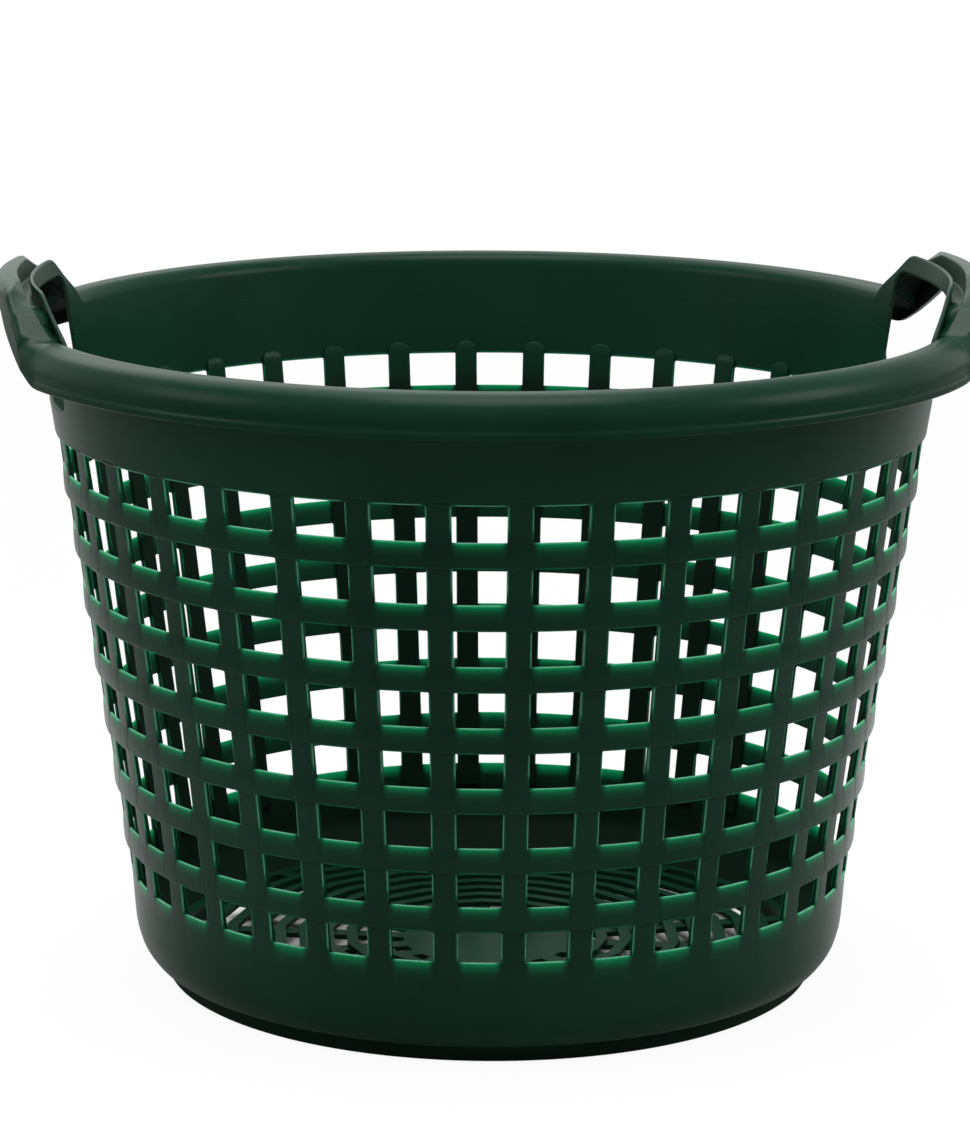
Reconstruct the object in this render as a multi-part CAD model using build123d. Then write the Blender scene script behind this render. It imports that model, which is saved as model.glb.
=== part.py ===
from build123d import *
from math import asin, degrees, sqrt
import os

# Garden basket in millimetres: +Z up, z = 0 under the foot ring, handles on the X axis.

# Wall: hoops and band stand on the outside of one cone, staves on its inside
wall_base_radius = 150.3
wall_slope = 0.151

# Foot ring, set in under the floor
foot_height = 6.5
foot_inset = 1.4
foot_thickness = 3.6

# Floor: disc, spokes and rings inside a closed edge
floor_thickness = 2.2
floor_disc_radius = 38.0
spoke_count = 18
spoke_width = 7.5
first_spoke_angle = 10.0
ring_count = 8
ring_margin = 13.0
ring_width = 5.0
ring_height = 2.2

# Skirt and its rounded corner
skirt_height = 41.0
skirt_top_thickness = 1.4
corner_height = 15.5
corner_thickness = 3.0
corner_middle_height = 6.7
corner_middle_inset = 3.6
corner_inset = 12.0

# Rows of windows between the skirt and the band
hoop_count = 7
hoop_height = 10.15
window_height = 15.9
lowest_window_height = 14.25
hoop_top_thickness = 1.4
hoop_bottom_thickness = 2.2

# Staves
stave_count = 36
stave_width = 10.8
stave_thickness = 2.0
stave_top_lap = 4.8
stave_foot_lap = 10.0
stave_corner = 3.0

# Upper band
band_height = 29.9
band_thickness = 1.8

# Rolled rim, a channel open underneath
rim_rise = 17.0
rim_depth = 17.5
rim_reach = 5.8
rim_overhang = 11.3
rim_thickness = 2.0
roll_rise = 9.5
shoulder_drop = 11.0
lip_width = 0.7
lip_height = 3.0

# Handles: each length along the rim is set off from the grip's own half length
handle_half_length = 70.0
fin_rise = 18.0
fin_top_inset = 22.0
fin_end_outset = 12.5
fin_corner_radius = 14.0
hole_inset = 11.0
hole_depth = 33.0
hole_corner_radius = 8.0
grip_rise = 20.8
grip_shell = 2.2
grip_proud = 1.9
grip_skirt_thickness = 2.6
grip_dome = 1.3
grip_shoulder_inset = 18.0
grip_step_drop = 9.4
grip_step_inset = 10.0
grip_foot_rise = 5.1
grip_foot_outset = 10.0
grip_edge_rise = 11.5
grip_edge_outset = 6.0
taper_top_inset = 42.0
taper_foot_inset = 25.0
valley_width = 5.6
pocket_inset = 15.0
flank_thickness = 2.0


def wall_radius(z):
    """Radius of the cone between the staves and the hoops at height z."""
    return wall_base_radius + wall_slope * z


# Heights that follow
floor_top = foot_height + floor_thickness
corner_top = foot_height + corner_height
skirt_top = foot_height + skirt_height
row_height = hoop_height + window_height
band_bottom = skirt_top + lowest_window_height + hoop_count * row_height
band_top = band_bottom + band_height
rim_height = band_top + rim_rise
rim_bottom = rim_height - rim_depth
roll_start = band_top + roll_rise
shoulder_height = rim_height - shoulder_drop
fin_top = rim_height + fin_rise
grip_crown = rim_height + grip_rise
grip_step = grip_crown - grip_step_drop
grip_foot = rim_bottom + grip_foot_rise
hole_bottom = rim_height - hole_depth
hole_top = grip_step - grip_shell

# Radii that follow
corner_top_radius = wall_radius(corner_top) + corner_thickness
floor_edge_radius = corner_top_radius - corner_inset
foot_outer_radius = floor_edge_radius - foot_inset
foot_inner_radius = foot_outer_radius - foot_thickness
rim_crest_radius = wall_radius(rim_height) + rim_reach
rim_outer_radius = rim_crest_radius + rim_overhang
valley_radius = wall_radius(grip_step) + band_thickness + valley_width
grip_outer_radius = rim_outer_radius + grip_proud

# Lengths and arcs that follow
fin_end = handle_half_length + fin_end_outset
handle_half_angle = degrees(asin(handle_half_length / rim_crest_radius))
pocket_angle = degrees(asin((handle_half_length - pocket_inset) / rim_crest_radius))


def turned(outline, arc=360.0, middle=0.0):
    """Revolve a closed outline drawn in the XZ plane through an arc centred on one direction."""
    solid = revolve(make_face(outline), Axis.Z, arc)
    return Rot(0, 0, middle - arc / 2) * solid


def at(radius, z):
    """Point of an outline in the XZ plane."""
    return (radius, 0, z)


def ring(inner, outer, low, high, arc=360.0, middle=0.0):
    """Plain ring or part of one, square in section."""
    corners = [at(inner, low), at(outer, low), at(outer, high), at(inner, high)]
    return turned(Polyline(*corners, close=True), arc, middle)


def wall_ring(low, high, arc=360.0):
    """Stretch of the wall itself: a leaning shell that stands on the cone."""
    corners = [
        at(wall_radius(low), low),
        at(wall_radius(low) + band_thickness, low),
        at(wall_radius(high) + band_thickness, high),
        at(wall_radius(high), high),
    ]
    return turned(Polyline(*corners, close=True), arc)


def hoop(top):
    """One hoop: inner face on the wall cone, outer face almost upright."""
    bottom = top - hoop_height
    corners = [
        at(wall_radius(bottom), bottom),
        at(wall_radius(bottom) + hoop_bottom_thickness, bottom),
        at(wall_radius(top) + hoop_top_thickness, top),
        at(wall_radius(top), top),
    ]
    return turned(Polyline(*corners, close=True))


def slat_face(z):
    """Distance from the axis to a flat slat whose two long edges lie on the wall cone."""
    return sqrt(wall_radius(z) ** 2 - (stave_width / 2) ** 2)


def stave():
    """One flat slat on the +X side, leaning with the wall, its two top corners cut off."""
    low = skirt_top - stave_foot_lap
    high = band_bottom + stave_top_lap
    corners = [
        at(slat_face(low) - stave_thickness, low),
        at(slat_face(low), low),
        at(slat_face(high), high),
        at(slat_face(high) - stave_thickness, high),
    ]
    side = make_face(Polyline(*corners, close=True))
    slat = extrude(side, stave_width / 2, dir=(0, 1, 0), both=True)
    return chamfer(slat.edges().group_by(Axis.Z)[-1].filter_by(Axis.X), stave_corner)


def skirt():
    """Lower wall and its rounded corner, round the edge of the floor."""
    arc_middle = at(corner_top_radius - corner_middle_inset, foot_height + corner_middle_height)
    outline = [
        ThreePointArc(
            at(floor_edge_radius, foot_height),
            arc_middle,
            at(corner_top_radius, corner_top),
        ),
        Polyline(
            at(corner_top_radius, corner_top),
            at(wall_radius(skirt_top) + skirt_top_thickness, skirt_top),
            at(wall_radius(skirt_top), skirt_top),
            at(wall_radius(corner_top), corner_top),
            at(floor_edge_radius, floor_top),
            at(floor_edge_radius, foot_height),
        ),
    ]
    return turned(outline)


def rim(middle):
    """Half of the rolled rim, between the two handles."""
    outer = rim_outer_radius
    inside = outer - rim_thickness
    under_crest = rim_height - rim_thickness
    roll_foot = at(wall_radius(roll_start), roll_start)
    crest = at(rim_crest_radius, rim_height)
    shoulder = at(outer, shoulder_height)
    outline = [
        Line(at(wall_radius(band_top), band_top), roll_foot),
        TangentArc(roll_foot, crest, tangent=(wall_slope, 0, 1)),
        TangentArc(crest, shoulder, tangent=(1, 0, 0)),
        Polyline(
            shoulder,
            at(outer, rim_bottom + lip_height),
            at(outer + lip_width, rim_bottom + lip_height),
            at(outer + lip_width, rim_bottom),
            at(inside, rim_bottom),
            at(inside, shoulder_height),
            at(rim_crest_radius, under_crest),
            at(wall_radius(roll_start) + band_thickness, roll_start),
            at(wall_radius(band_top) + band_thickness, band_top),
            at(wall_radius(band_top), band_top),
        ),
    ]
    return turned(outline, 180 - 2 * handle_half_angle, middle)


def through_x(face):
    """Carry a face drawn in the YZ plane out past the +X handle."""
    return extrude(face, grip_outer_radius + rim_thickness, dir=(1, 0, 0))


def under(*edges):
    """Face between a line drawn across the +X handle and the band's lower edge."""
    start = edges[0] @ 0
    end = edges[-1] @ 1
    sides = Polyline(end, (0, end.Y, band_bottom), (0, start.Y, band_bottom), start)
    return make_face([*edges, sides])


def fin_face():
    """Side view of the raised wall: sloping ends that run out at the roll, rounded top corners."""
    top = handle_half_length - fin_top_inset
    top_line = Polyline(
        (0, -fin_end, roll_start),
        (0, -top, fin_top),
        (0, top, fin_top),
        (0, fin_end, roll_start),
    )
    face = under(*top_line.edges())
    return fillet(face.vertices().group_by(Axis.Z)[-1], fin_corner_radius)


def hand_hole():
    """Cutter for the opening under the +X grip."""
    middle = (hole_bottom + hole_top) / 2
    width = 2 * (handle_half_length - hole_inset)
    outline = RectangleRounded(width, hole_top - hole_bottom, hole_corner_radius)
    return extrude(Plane.YZ * Pos(0, middle) * outline, valley_radius)


def handle_wall():
    """Raised inner wall of the +X handle: the wall carried straight on up past the rim."""
    wall = wall_ring(band_top, fin_top, 180)
    return (wall & through_x(fin_face())) - hand_hole()


def end_lines():
    """Ramp and step at the -Y and +Y ends of the grip, each drawn from the rim upwards."""
    foot = handle_half_length + grip_foot_outset
    step = handle_half_length - grip_step_inset
    left = Line((0, -foot, grip_foot), (0, -step, grip_step))
    right = Line((0, foot, grip_foot), (0, step, grip_step))
    return left, right


def step_face():
    """Side view of the valley floor beside the raised wall."""
    left, right = end_lines()
    return under(left, Line(left @ 1, right @ 1), Line(right @ 1, right @ 0))


def crown_face():
    """Side view of the grip: ramps, end faces and a gently domed crown."""
    left, right = end_lines()
    shoulder = handle_half_length - grip_shoulder_inset
    left_shoulder = (0, -shoulder, grip_crown - grip_dome)
    right_shoulder = (0, shoulder, grip_crown - grip_dome)
    return under(
        left,
        Line(left @ 1, left_shoulder),
        ThreePointArc(left_shoulder, (0, 0, grip_crown), right_shoulder),
        Line(right_shoulder, right @ 1),
        Line(right @ 1, right @ 0),
    )


def beside_wall(radius, low, high, arc, middle=0.0):
    """Ring from the outside of the raised wall out to a radius."""
    corners = [
        at(wall_radius(low) + band_thickness, low),
        at(radius, low),
        at(radius, high),
        at(wall_radius(high) + band_thickness, high),
    ]
    return turned(Polyline(*corners, close=True), arc, middle)


def on_handle(radius, across, z):
    """Point of the +X handle at a radius, a distance across the handle and a height."""
    return Vector(sqrt(radius**2 - across**2), across, z)


def crown_taper(side, depth):
    """Cutter for a slanted corner on the inner side of the crown, moved into the grip by a depth."""
    top = on_handle(valley_radius, side * (handle_half_length - taper_top_inset), grip_crown)
    foot = on_handle(valley_radius, side * (handle_half_length - taper_foot_inset), grip_step)
    end = on_handle(grip_outer_radius, side * (handle_half_length - grip_shoulder_inset), grip_crown)
    facing = (end - top).cross(foot - top).normalized() * side
    reach = 2 * handle_half_length
    cutter = Plane(top - facing * depth, z_dir=facing) * Pos(0, 0, reach / 2) * Box(reach, reach, reach)
    outside = grip_outer_radius + grip_shell
    above = grip_crown + grip_shell
    return cutter & beside_wall(outside, grip_step - depth, above, 2 * handle_half_angle)


def handle_grip():
    """Arched grip of the +X handle: hollow underneath, with a valley between it and the raised wall."""
    arc = 2 * handle_half_angle
    inside = grip_outer_radius - grip_skirt_thickness
    flank = valley_radius + flank_thickness
    top = grip_crown + grip_shell
    edge = handle_half_length + grip_edge_outset
    edge_arc = ThreePointArc(
        (0, -edge, rim_bottom),
        (0, 0, rim_height + grip_edge_rise),
        (0, edge, rim_bottom),
    )
    body = beside_wall(grip_outer_radius, rim_bottom, top, arc)
    body &= through_x(crown_face())
    under_hump = ring(flank, inside, band_bottom, top, arc) & through_x(offset(crown_face(), -grip_shell))
    for side in (-1, 1):
        body -= crown_taper(side, 0)
        under_hump -= crown_taper(side, grip_shell)
    body -= under_hump
    under_step = beside_wall(inside, band_bottom, top, arc)
    body -= under_step & through_x(offset(step_face(), -grip_shell))
    body -= beside_wall(valley_radius, grip_step, top, arc)
    pocket_arc = 2 * (handle_half_angle - pocket_angle)
    for end in (-handle_half_angle, handle_half_angle):
        body -= beside_wall(valley_radius, band_bottom, top, pocket_arc, end)
    skirt_ring = ring(inside, grip_outer_radius, band_bottom, top, arc)
    return body - (skirt_ring & through_x(under(edge_arc)))


def spoke():
    """One bar of the floor along +X, from the centre disc to the floor's edge."""
    length = foot_inner_radius
    bar = Pos(length / 2, 0, foot_height + floor_thickness / 2)
    bar *= Box(length + floor_thickness, spoke_width, floor_thickness)
    return bar & ring(floor_disc_radius, foot_inner_radius, foot_height, floor_top, 90)


def floor_ring(radius):
    """One ring of straight bars lying on the spokes, with a corner on each spoke."""
    outer = RegularPolygon(radius + ring_width / 2, spoke_count)
    inner = RegularPolygon(radius - ring_width / 2, spoke_count)
    bars = Pos(0, 0, floor_top) * extrude(outer - inner, ring_height)
    return Rot(0, 0, first_spoke_angle) * bars


def build():
    """All the pieces of the basket by name."""
    turn = Rot(0, 0, 180)
    wall = handle_wall()
    grip = handle_grip()
    pieces = {
        "rim_front": rim(-90) - wall - turn * wall,
        "rim_back": rim(90) - wall - turn * wall,
    }
    pieces["handle_right_wall"] = wall
    pieces["handle_left_wall"] = turn * wall
    pieces["handle_right_grip"] = grip
    pieces["handle_left_grip"] = turn * grip

    pieces["upper_band"] = wall_ring(band_bottom, band_top) - hand_hole() - turn * hand_hole()
    for number in range(hoop_count):
        top = band_bottom - window_height - number * row_height
        pieces[f"hoop_{number + 1}"] = hoop(top)

    slat = stave()
    for number in range(stave_count):
        pieces[f"stave_{number + 1:02d}"] = Rot(0, 0, number * 360 / stave_count) * slat

    pieces["skirt"] = skirt()
    pieces["foot_ring"] = ring(foot_inner_radius, foot_outer_radius, 0, foot_height)
    pieces["floor_edge"] = ring(foot_inner_radius, floor_edge_radius, foot_height, floor_top)
    pieces["floor_disc"] = ring(0, floor_disc_radius, foot_height, floor_top)
    bar = spoke()
    angles = [first_spoke_angle + number * 360 / spoke_count for number in range(spoke_count)]
    pieces["floor_spokes"] = Compound([Rot(0, 0, angle) * bar for angle in angles])
    first_ring = floor_disc_radius + ring_margin
    last_ring = foot_inner_radius - ring_margin
    ring_pitch = (last_ring - first_ring) / (ring_count - 1)
    radii = [first_ring + number * ring_pitch for number in range(ring_count)]
    pieces["floor_rings"] = Compound([floor_ring(radius) for radius in radii])
    return pieces


os.makedirs("parts", exist_ok=True)
for name, solid in build().items():
    export_step(solid, f"parts/{name}.step")
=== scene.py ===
import logging
import math
from dataclasses import dataclass
from enum import Enum
from typing import Any, Iterator, Sequence, Union

import bpy
import numpy as np
from mathutils import Matrix, Vector


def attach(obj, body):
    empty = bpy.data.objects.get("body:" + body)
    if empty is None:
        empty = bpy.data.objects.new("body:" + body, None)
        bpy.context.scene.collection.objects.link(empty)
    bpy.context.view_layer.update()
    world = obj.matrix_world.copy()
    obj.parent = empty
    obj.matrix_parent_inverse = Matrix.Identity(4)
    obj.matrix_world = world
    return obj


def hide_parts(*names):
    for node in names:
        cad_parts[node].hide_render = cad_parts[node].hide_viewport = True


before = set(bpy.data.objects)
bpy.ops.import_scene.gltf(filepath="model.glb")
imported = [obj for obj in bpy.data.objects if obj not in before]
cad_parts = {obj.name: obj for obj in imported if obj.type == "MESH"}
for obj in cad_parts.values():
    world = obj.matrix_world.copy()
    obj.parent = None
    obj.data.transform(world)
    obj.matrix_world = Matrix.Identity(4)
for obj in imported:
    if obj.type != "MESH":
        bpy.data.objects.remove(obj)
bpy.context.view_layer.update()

MM = 0.001
BODY = "root"
LOG = logging.getLogger("garden_basket")

# Sizes in millimetres that every piece shares.
HAIR = 0.01  # keeps two roundings from meeting
FLUSH = 0.03  # keeps two faces from lying in one another
FLAT_SHARE = 0.25  # share of a straight run that is kept flat at each of its ends
FLAT_LIMITS = (0.003, 0.4)  # least and greatest length kept flat
EDGE_HIGHLIGHT = (0.75, 0.3)  # distance from an edge where its painted highlight line starts and is full

Array = np.ndarray
Size = Union[np.ndarray, float]
Number = Union["Value", float]
Colour = tuple[float, float, float, float]


class Place(Enum):
    """A place round the basket, by the angle of its middle in degrees."""

    @property
    def label(self) -> str:
        """Name of the place as the nodes spell it."""
        return self.name.lower()


class Side(Place):
    """The two handles."""

    RIGHT = 0.0
    LEFT = 180.0


class Half(Place):
    """The two halves of the rim."""

    FRONT = -90.0
    BACK = 90.0


class Value:
    """A number in a shader: Python's operators on it add Math nodes."""

    def __init__(self, graph: "Graph", socket: bpy.types.NodeSocket) -> None:
        """Keep the socket and the graph that it belongs to."""
        self.graph = graph
        self.socket = socket

    def math(self, operation: str, first: Number, second: Number = 0.0) -> "Value":
        """Add one Math node.

        Args:
            operation: Name of the Math node's operation.
            first: First number.
            second: Second number, unused by operations on one number.

        Returns:
            The result.
        """
        node = self.graph.node("ShaderNodeMath", {"operation": operation}, {0: first, 1: second})
        return Value(self.graph, node.outputs[0])

    def __add__(self, other: Number) -> "Value":
        """self + other."""
        return self.math("ADD", self, other)

    def __radd__(self, other: float) -> "Value":
        """other + self."""
        return self.math("ADD", other, self)

    def __sub__(self, other: Number) -> "Value":
        """self - other."""
        return self.math("SUBTRACT", self, other)

    def __rsub__(self, other: float) -> "Value":
        """other - self."""
        return self.math("SUBTRACT", other, self)

    def __mul__(self, other: Number) -> "Value":
        """self * other."""
        return self.math("MULTIPLY", self, other)

    def __rmul__(self, other: float) -> "Value":
        """other * self."""
        return self.math("MULTIPLY", other, self)

    def __lt__(self, other: Number) -> "Value":
        """1 where self is below other, else 0."""
        return self.math("LESS_THAN", self, other)

    def ramp(self, low: float, high: float) -> "Value":
        """Smooth step of this number.

        Args:
            low: Where the result is 0.
            high: Where the result is 1.

        Returns:
            A number between 0 and 1.
        """
        settings = {"interpolation_type": "SMOOTHSTEP"}
        sockets = {"Value": self, "From Min": low, "From Max": high}
        return self.graph.number("ShaderNodeMapRange", settings, sockets, "Result")


class Graph:
    """A node tree that is written as Python expressions."""

    def __init__(self, tree: bpy.types.NodeTree) -> None:
        """Empty the tree."""
        self.tree = tree
        tree.nodes.clear()

    def node(self, kind: str, settings: dict[str, Any], sockets: dict[Any, Any]) -> bpy.types.Node:
        """Add a node.

        Args:
            kind: Type name of the node.
            settings: Attributes of the node, set before its sockets.
            sockets: Values, colours or links by the socket's name or number.

        Returns:
            The new node.
        """
        node = self.tree.nodes.new(kind)
        for name, setting in settings.items():
            setattr(node, name, setting)
        for key, given in sockets.items():
            source = given.socket if isinstance(given, Value) else given
            if isinstance(source, bpy.types.NodeSocket):
                self.tree.links.new(source, node.inputs[key])
            else:
                node.inputs[key].default_value = source
        return node

    def number(
        self, kind: str, settings: dict[str, Any], sockets: dict[Any, Any], output: str
    ) -> Value:
        """Add a node and take the named output as a number."""
        return Value(self, self.node(kind, settings, sockets).outputs[output])

    def coordinates(self, kind: str) -> bpy.types.NodeSocket:
        """Texture coordinates of the named kind."""
        return self.node("ShaderNodeTexCoord", {}, {}).outputs[kind]

    def axis(self, vector: bpy.types.NodeSocket, name: str) -> Value:
        """The named coordinate, X, Y or Z, of a vector."""
        return self.number("ShaderNodeSeparateXYZ", {}, {0: vector}, name)

    def noise(self, place: bpy.types.NodeSocket, scale: float, detail: float) -> Value:
        """Cloudy noise round 0.5, by its scale per metre and its octaves."""
        sockets = {"Vector": place, "Scale": scale, "Detail": detail}
        return self.number("ShaderNodeTexNoise", {}, sockets, "Fac")

    def mix(self, factor: Number, first: Any, second: Any) -> bpy.types.NodeSocket:
        """Mix two colours: inputs 6 and 7 of a Mix node, and its output 2, are colours.

        Args:
            factor: Share of the second colour.
            first: First colour or its socket.
            second: Second colour or its socket.

        Returns:
            Socket of the mixed colour.
        """
        sockets = {0: factor, 6: first, 7: second}
        node = self.node("ShaderNodeMix", {"data_type": "RGBA"}, sockets)
        return node.outputs[2]

    def blend(
        self, factor: Number, first: bpy.types.Node, second: bpy.types.Node
    ) -> bpy.types.Node:
        """Mix two shaders: the factor is the share of the second one."""
        sockets = {0: factor, 1: first.outputs[0], 2: second.outputs[0]}
        return self.node("ShaderNodeMixShader", {}, sockets)

    def surface(self, shader: bpy.types.Node, kind: str = "ShaderNodeOutputMaterial") -> None:
        """End the graph in an output node."""
        self.node(kind, {}, {"Surface": shader.outputs[0]})


def colour(red: float, green: float, blue: float) -> Colour:
    """A linear colour as a socket takes it."""
    return (red, green, blue, 1.0)


def grey(level: float) -> Colour:
    """A linear grey as a socket takes it."""
    return colour(level, level, level)


@dataclass(frozen=True)
class Polyethylene:
    """The moulding's one finish: dark green satin that lets light through its thinner edges, with
    painted glow, painted highlight lines and painted shade.
    """

    name: str = "green_polyethylene"
    body: Colour = colour(0.0034, 0.0225, 0.0125)
    deep: Colour = colour(0.0027, 0.0185, 0.0102)
    # Painted glow colour for the thinner edges.
    painted_glow: Colour = colour(0.009, 0.085, 0.048)
    # Painted highlight colour for the very edges.
    painted_highlight: Colour = colour(0.090, 0.260, 0.170)
    through: Colour = colour(0.06, 1.00, 0.56)
    speck: Colour = colour(0.06, 0.11, 0.09)
    # Painted shade colour for the hollows and inner faces.
    shade: Colour = colour(0.0012, 0.0045, 0.0028)
    roughness: float = 0.29
    cloud_roughness: float = 0.14
    hollow_roughness: float = 0.5
    specular: float = 0.045
    cloud_scale: float = 14.0
    cloud_detail: float = 3.0
    cloud_range: tuple = (0.35, 0.65)
    grain_scale: float = 900.0
    grain_detail: float = 2.0
    grain_strength: float = 0.08
    grain_height: float = 0.4
    edge_share: float = 0.9
    line_range: tuple = (0.6, 0.85)
    line_cover: float = 0.8
    rub_share: float = 0.11
    rub_roughness: float = 0.34
    rub_across: tuple = (90.0, 190.0)
    rub_height: tuple = (268.0, 288.0)
    speck_spacing: float = 26.0
    speck_size: float = 0.35
    speck_share: float = 0.6

    def specks(self, graph: Graph, place: bpy.types.NodeSocket) -> Value:
        """Fine round specks, one in the middle of each cell of a random pattern.

        Args:
            graph: Node tree that takes the nodes.
            place: Object coordinates.

        Returns:
            1 on a speck, else 0.
        """
        cells = {"Vector": place, "Scale": 1.0 / (self.speck_spacing * MM)}
        centre = graph.number("ShaderNodeTexVoronoi", {}, cells, "Distance")
        return centre < self.speck_size / self.speck_spacing

    def rubbed(self, graph: Graph, place: bpy.types.NodeSocket) -> Value:
        """Where hands have rubbed the plastic: high up and towards the two handles.

        Args:
            graph: Node tree that takes the nodes.
            place: Object coordinates.

        Returns:
            1 on the handles, fading to 0 along the rim and below it.
        """
        across = graph.axis(place, "X")
        near, far = ((reach * MM) ** 2 for reach in self.rub_across)
        low, high = (level * MM for level in self.rub_height)
        return (across * across).ramp(near, far) * graph.axis(place, "Z").ramp(low, high)

    def material(self) -> bpy.types.Material:
        """Build the finish.

        The per-point attribute fades from the edges of the windows to 0 where the wall has its
        full
        thickness: it turns the colour to emerald, a painted glow, and mixes in light from behind
        through a translucent shader. Above 0.6, on the very edges, it paints a pale highlight
        line.
        Down to -1, on the inner side and in the hollows, it paints shade and makes the plastic
        more matt. A faint coat, stronger towards the handles, is the sheen of plastic rubbed by
        hands.

        Returns:
            The material that every piece shares.
        """
        material = bpy.data.materials.new(self.name)
        material.use_nodes = True
        graph = Graph(material.node_tree)
        place = graph.coordinates("Object")
        thin_glow_shade = graph.number("ShaderNodeAttribute", {"attribute_name": "thin_glow_shade"}, {}, "Fac")
        cloud = graph.noise(place, self.cloud_scale, self.cloud_detail)
        grain = graph.noise(place, self.grain_scale, self.grain_detail)
        line = thin_glow_shade.ramp(*self.line_range)
        hollow = (0.0 - thin_glow_shade).ramp(0.0, 1.0)
        tone = graph.mix(cloud.ramp(*self.cloud_range), self.deep, self.body)
        # Painted glow: the base colour turns emerald towards the thinner edges.
        tone = graph.mix(thin_glow_shade, tone, self.painted_glow)
        # Painted highlight: a pale line on the very edges.
        tone = graph.mix(line, tone, self.painted_highlight)
        tone = graph.mix(self.specks(graph, place) * self.speck_share, tone, self.speck)
        # Painted shade: darker in the hollows and on the inner faces.
        tone = graph.mix(hollow, tone, self.shade)
        roughness = self.roughness + (cloud - 0.5) * self.cloud_roughness
        sheen = self.rubbed(graph, place) * (1.0 - hollow) * (0.5 + cloud)
        relief = {"Strength": self.grain_strength, "Distance": self.grain_height * MM}
        bump = graph.node("ShaderNodeBump", {}, {**relief, "Height": grain})
        plastic = graph.node(
            "ShaderNodeBsdfPrincipled",
            {},
            {
                "Base Color": tone,
                "Roughness": roughness + hollow * self.hollow_roughness,
                "Specular IOR Level": self.specular,
                "Coat Weight": sheen * self.rub_share,
                "Coat Roughness": self.rub_roughness,
                "Normal": bump.outputs[0],
            },
        )
        glow = graph.node("ShaderNodeBsdfTranslucent", {}, {"Color": self.through})
        share = thin_glow_shade * self.edge_share * (1.0 - self.line_cover * line)
        graph.surface(graph.blend(share, plastic, glow))
        return material


def straight_step(value: Array, low: float, high: float) -> Array:
    """Straight step from 0 at low to 1 at high."""
    return np.clip((value - low) / (high - low), 0.0, 1.0)


def smooth_step(value: Array, low: float, high: float) -> Array:
    """Cubic step from 0 at low to 1 at high."""
    t = straight_step(value, low, high)
    return t * t * (3 - 2 * t)


def edge_highlight(distance: Array) -> Array:
    """1 on the painted highlight line along an edge, 0 away from it, at distances from the edge.
    """
    return smooth_step(distance, *EDGE_HIGHLIGHT)


def soft_line(distance: Array, knots: Sequence[tuple[float, float]], width: float) -> Array:
    """Height along a line of straight runs whose corners are softened.

    The runs are the knots' polyline, and each change of slope at a knot is spread by
    slope change * width * log(1 + exp((distance - knot) / width)).

    Args:
        distance: Where the height is wanted.
        knots: Distance and height of each end of a run, by rising distance.
        width: Width over which a corner is softened.

    Returns:
        The heights.
    """
    places, heights = np.array(knots).T
    slopes = np.diff(heights) / np.diff(places)
    result = heights[0] + slopes[0] * (distance - places[0])
    for place, change in zip(places[1:-1], np.diff(slopes)):
        result = result + change * width * np.logaddexp(0.0, (distance - place) / width)
    return result


def outlines(count: int, corners: Sequence[tuple[Size, Size]]) -> Array:
    """Put corners together to closed outlines.

    Args:
        count: Number of outlines.
        corners: Two coordinates of each corner, as numbers or arrays (count,).

    Returns:
        Corners (count, k, 2).
    """
    result = np.zeros((count, len(corners), 2))
    for place, (first, second) in enumerate(corners):
        result[:, place, 0] = first
        result[:, place, 1] = second
    return result


def rounded(corners: Array, cuts: Union[Array, Sequence[float]], steps: int) -> Array:
    """Round the corners of closed outlines.

    Each corner becomes a circular arc: a rational quadratic curve from one cut before the corner
    to one cut after it, with the corner as middle control point and the cosine of half the turn as
    its weight. One more point on the straight run before and after the arc keeps the run flat.

    Args:
        corners: Corners (n, k, 2) of n outlines of k corners each.
        cuts: Length cut off each side at each corner, (k,) or (n, k).
        steps: Spans of each arc.

    Returns:
        Points (n, k * (steps + 3), 2).
    """
    ahead = np.roll(corners, -1, axis=1) - corners
    span = np.linalg.norm(ahead, axis=2, keepdims=True)
    ahead /= span
    back = -np.roll(ahead, 1, axis=1)
    turn_cosine = -np.sum(back * ahead, axis=2)
    weight = np.sqrt(np.clip((1 + turn_cosine) / 2, 0.0, 1.0))[..., None, None]
    length = np.broadcast_to(cuts, corners.shape[:2])[..., None]
    straight = span - length - np.roll(length, -1, axis=1)
    run = np.clip(FLAT_SHARE * straight, *FLAT_LIMITS)
    t = np.linspace(0, 1, steps + 1)[:, None]
    first = (1 - t) ** 2
    middle = 2 * t * (1 - t) * weight
    last = t**2
    start = (corners + back * length)[:, :, None]
    end = (corners + ahead * length)[:, :, None]
    arc = first * start + middle * corners[:, :, None] + last * end
    arc /= first + middle + last
    before = start + (back * np.roll(run, 1, axis=1))[:, :, None]
    after = end + (ahead * run)[:, :, None]
    return np.concatenate([before, arc, after], axis=2).reshape(len(corners), -1, 2)


def corner_places(points: int, corners: int) -> Array:
    """Place of each point of a rounded outline, counted in corners from the first one."""
    return np.arange(points) * corners / points


def turned(sections: Array, angles: Array) -> Array:
    """Stand (radius, z) sections round the axis.

    A point (r, z) of the section at angle a goes to (r cos a, r sin a, z).

    Args:
        sections: Sections (n, m, 2), or (m, 2) for one section all round.
        angles: Angle of each section in radians, (n,).

    Returns:
        Points (n, m, 3).
    """
    sections = np.broadcast_to(sections, (len(angles),) + sections.shape[-2:])
    radius = sections[..., 0]
    x = radius * np.cos(angles)[:, None]
    y = radius * np.sin(angles)[:, None]
    return np.stack([x, y, sections[..., 1]], axis=2)


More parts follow.
